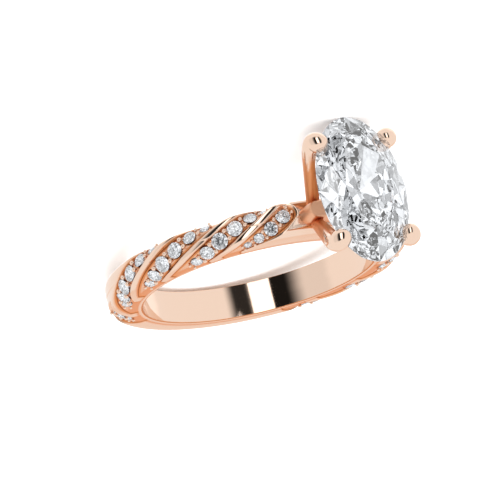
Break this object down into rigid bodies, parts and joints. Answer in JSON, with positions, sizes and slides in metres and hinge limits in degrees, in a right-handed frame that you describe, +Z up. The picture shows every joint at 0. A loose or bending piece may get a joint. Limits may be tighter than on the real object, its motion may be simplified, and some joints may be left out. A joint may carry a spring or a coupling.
{
  "type": "twisted shank ring",
  "caption": "Engagement ring with an oval brilliant in a raised four-claw head, on a twisted band whose slanting polished ribs part fields of small round stones.",
  "frame": {"origin": "middle of the ring's outline, on the surface that it lies on", "axes": "+X from the back of the band towards the oval stone, +Y towards the left shoulder, +Z up, within the rest tilt of the finger's direction"},
  "size_m": [0.0278, 0.0216, 0.0105],
  "materials": {
    "rose_gold": "mirror polish",
    "oval_diamond": "cut and polished",
    "small_diamonds": "cut and polished"
  },
  "bodies": {
    "root": {"mounting": "rose_gold", "centre_stone": "oval_diamond", "pave_left": "small_diamonds", "pave_right": "small_diamonds"}
  },
  "joints": []
}
